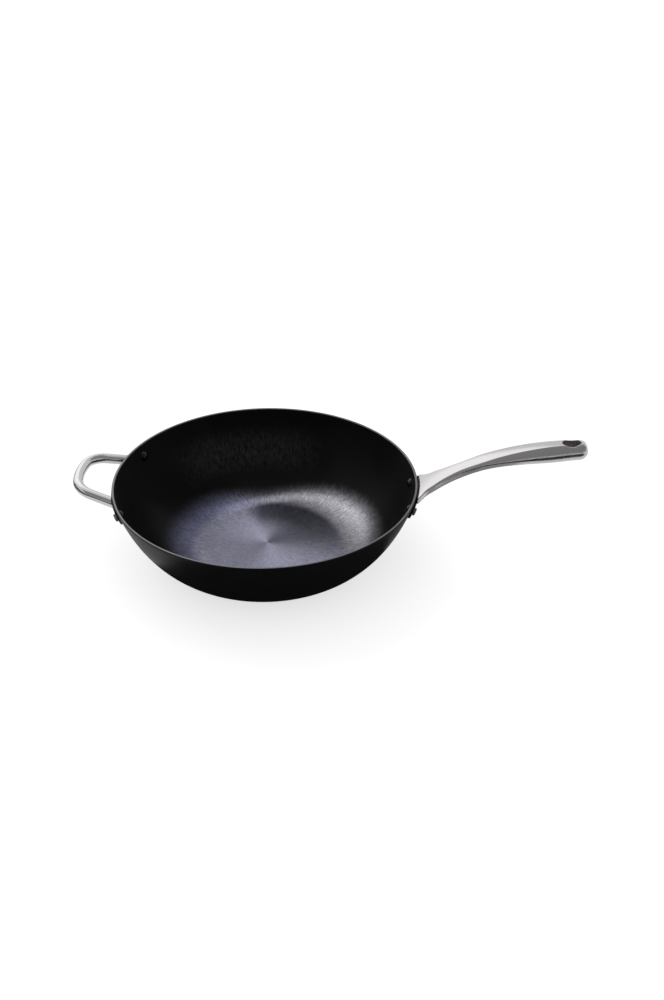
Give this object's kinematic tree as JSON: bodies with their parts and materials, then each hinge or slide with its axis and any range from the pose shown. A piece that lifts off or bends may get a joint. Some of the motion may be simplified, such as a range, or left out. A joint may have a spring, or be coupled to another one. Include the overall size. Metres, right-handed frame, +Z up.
{
  "type": "wok",
  "caption": "Flat-bottomed cast iron wok with a curved stainless long handle, hanging hole and looped helper handle, both bolted on through black brackets.",
  "frame": {"origin": "middle of the flat base's underside, which rests on the hob", "axes": "+Z up through the bowl's axis, +X along the long handle, -X towards the helper handle"},
  "size_m": [0.5338, 0.3212, 0.1434],
  "materials": {
    "seasoned_cast_iron": "seasoned black, satin, with a machined inside and a bare ground rim",
    "stainless_steel": "cast stainless steel, polished",
    "black_bracket": "matt black, heat-proof",
    "black_screw": "blackened steel, satin",
    "hidden_screw_steel": "plain zinc-plated steel, hidden"
  },
  "bodies": {
    "root": {"wok_body": "seasoned_cast_iron", "long_handle": "stainless_steel", "long_handle_bracket": "black_bracket", "helper_handle": "stainless_steel", "helper_bracket": "black_bracket", "long_handle_screw_front": "black_screw", "long_handle_screw_back": "black_screw", "helper_screw_front": "black_screw", "helper_screw_back": "black_screw", "long_handle_nut_front": "black_screw", "long_handle_nut_back": "black_screw", "helper_nut_front": "black_screw", "helper_nut_back": "black_screw", "long_handle_root_screw_front": "hidden_screw_steel", "long_handle_root_screw_back": "hidden_screw_steel"}
  },
  "joints": []
}
